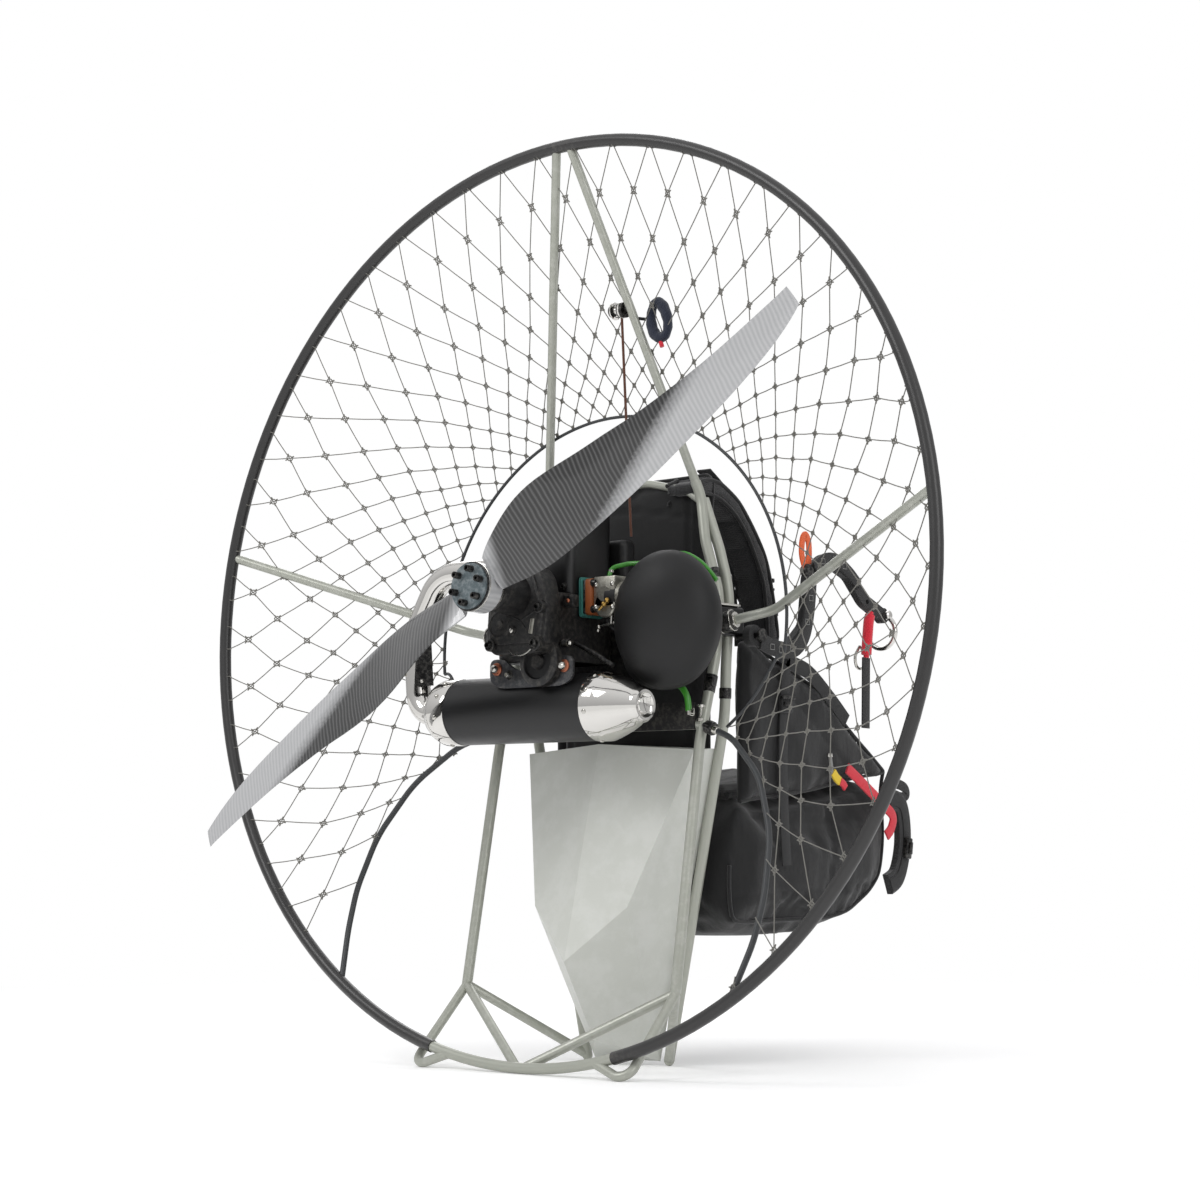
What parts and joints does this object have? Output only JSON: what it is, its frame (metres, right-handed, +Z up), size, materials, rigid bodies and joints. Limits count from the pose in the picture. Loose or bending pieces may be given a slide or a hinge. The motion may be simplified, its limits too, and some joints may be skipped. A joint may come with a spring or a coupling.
{
  "type": "paramotor",
  "caption": "Back-worn power unit for a paraglider: pusher propeller in a round protective hoop on a tube frame, with engine, tank, hang bars and harness.",
  "frame": {"origin": "middle of the floor area under the whole machine as it stands", "axes": "+X to the pilot's right, +Y forwards from the propeller to the pilot, +Z up"},
  "size_m": [1.4, 0.8456, 1.3957],
  "materials": {
    "airbox_black": "matte",
    "bar_black": "satin",
    "black_casting": "matte",
    "black_steel": "satin",
    "black_tube": "satin",
    "bright_chrome": "polished",
    "carb_metal": "satin",
    "carbon_blade": "gloss",
    "frame_metal": "satin",
    "fuel_green": "gloss",
    "handle_navy": "woven",
    "harness_black": "woven",
    "intake_amber": "satin",
    "net_dark": "satin",
    "rope_brown": "woven",
    "silencer_black": "satin",
    "slate_plate": "satin",
    "steel_bright": "polished",
    "tank_shell": "satin"
  },
  "bodies": {
    "chassis": {"airbox": "airbox_black", "arm_clamps": "black_steel", "back_pad": "harness_black", "carburettor": "carb_metal", "crankcase": "black_casting", "cylinder": "black_casting", "cylinder_head": "black_casting", "engine_bearer": "black_steel", "exhaust_header": "bright_chrome", "foot_loops": "frame_metal", "foot_struts": "frame_metal", "front_struts": "frame_metal", "front_uprights": "frame_metal", "fuel_hose": "fuel_green", "fuel_tank": "tank_shell", "hoop_base": "frame_metal", "hoop_left": "black_tube", "hoop_right": "black_tube", "intake_block": "intake_amber", "lower_crossbar": "frame_metal", "mount_plate": "black_steel", "net_arcs": "net_dark", "net_ring": "net_dark", "rear_uprights": "frame_metal", "reduction_housing": "black_casting", "seat_pan": "harness_black", "seat_sides": "harness_black", "shoulder_pads": "harness_black", "side_arms": "frame_metal", "silencer": "silencer_black", "silencer_brackets": "black_steel", "silencer_ends": "bright_chrome", "starter_handle": "handle_navy", "starter_housing": "black_casting", "starter_pulley": "steel_bright", "starter_rope": "rope_brown", "top_arms": "frame_metal", "top_crossbar": "frame_metal"},
    "propeller_unit": {"propeller": "carbon_blade", "hub_plate": "slate_plate", "hub_bolts": "black_steel", "shaft_flange": "slate_plate"},
    "bar_left": {"swan_bar_left": "bar_black", "carabiner_left": "steel_bright"},
    "bar_right": {"swan_bar_right": "bar_black", "carabiner_right": "steel_bright"}
  },
  "joints": [
    {"name": "propeller_spin", "type": "hinge", "parent": "chassis", "child": "propeller_unit", "pos_m": [0, -0.37943, 0.6986], "axis": [0, -0.9978, 0.067], "continuous": true},
    {"name": "bar_left_swing", "type": "hinge", "parent": "chassis", "child": "bar_left", "pos_m": [-0.236, -0.0352, 0.6382], "axis": [1, 0, 0], "range_deg": [-15, 30]},
    {"name": "bar_right_swing", "type": "hinge", "parent": "chassis", "child": "bar_right", "pos_m": [0.236, -0.0352, 0.6382], "axis": [1, 0, 0], "range_deg": [-15, 30]}
  ]
}
